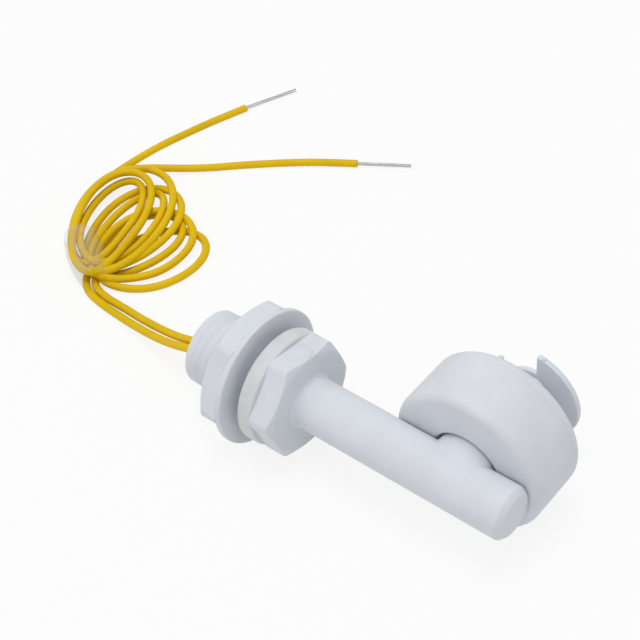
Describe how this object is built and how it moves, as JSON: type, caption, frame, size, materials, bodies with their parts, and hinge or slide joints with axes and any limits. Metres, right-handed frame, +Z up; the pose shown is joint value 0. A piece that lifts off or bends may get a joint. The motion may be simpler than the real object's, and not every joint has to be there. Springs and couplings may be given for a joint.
{
  "type": "float level switch",
  "caption": "Side-mounted float level switch: threaded plastic stem with hexagon, gasket and lock nut, a C-shaped magnetic float on a side pivot, and a loose coil of lead wire.",
  "frame": {"origin": "centre of the hexagon's sealing face, on the thread's axis", "axes": "+X along the thread and stem towards the float, +Y along the float's pivot away from the stem, +Z up"},
  "size_m": [0.1452, 0.1029, 0.0308],
  "materials": {
    "white_polypropylene": "satin",
    "grey_silicone": "satin, slightly milky",
    "dark_ferrite": "matte",
    "clear_glass": "polished",
    "plated_contact_wire": "bright",
    "tinned_crimp": "satin",
    "soft_sleeve": "matte",
    "black_resin": "gloss",
    "yellow_pvc": "semi-gloss",
    "tinned_copper": "twisted strands",
    "clear_film": "glossy film"
  },
  "bodies": {
    "switch_body": {"stem_body": "white_polypropylene", "pivot_retainer": "white_polypropylene", "reed_glass": "clear_glass", "reed_lead_near": "plated_contact_wire", "reed_lead_far": "plated_contact_wire", "reed_guard": "soft_sleeve", "crimp_near": "tinned_crimp", "crimp_return": "tinned_crimp", "crimp_far": "tinned_crimp", "return_lead": "plated_contact_wire", "return_wrap": "soft_sleeve", "shrink_near": "soft_sleeve", "shrink_return": "soft_sleeve", "lead_a_inner": "yellow_pvc", "lead_b_inner": "yellow_pvc", "potting_resin": "black_resin", "wire_a_lead": "yellow_pvc", "wire_b_lead": "yellow_pvc", "wire_a_tail": "yellow_pvc", "wire_b_tail": "yellow_pvc", "strands_a": "tinned_copper", "strands_b": "tinned_copper", "wire_coil": "yellow_pvc", "coil_band": "clear_film"},
    "float": {"float_shell": "white_polypropylene", "float_back_cover": "white_polypropylene", "float_magnet": "dark_ferrite", "magnet_plug": "white_polypropylene"},
    "gasket": {"sealing_gasket": "grey_silicone"},
    "nut": {"lock_nut": "white_polypropylene"}
  },
  "joints": [
    {"name": "float_pivot", "type": "hinge", "parent": "switch_body", "child": "float", "pos_m": [0.0383, 0, 0], "axis": [0, 1, 0], "range_deg": [-48, 0]},
    {"name": "gasket_slide", "type": "slide", "parent": "switch_body", "child": "gasket", "axis": [1, 0, 0], "range_m": [-0.009, 0]},
    {"name": "nut_turn", "type": "hinge", "parent": "gasket", "child": "nut", "pos_m": [0, 0, 0], "axis": [1, 0, 0], "range_deg": [-1620, 0]}
  ],
  "couplings": [
    {"joint": "gasket_slide", "follows": "nut_turn", "m_per_rad": 0.0003183}
  ]
}
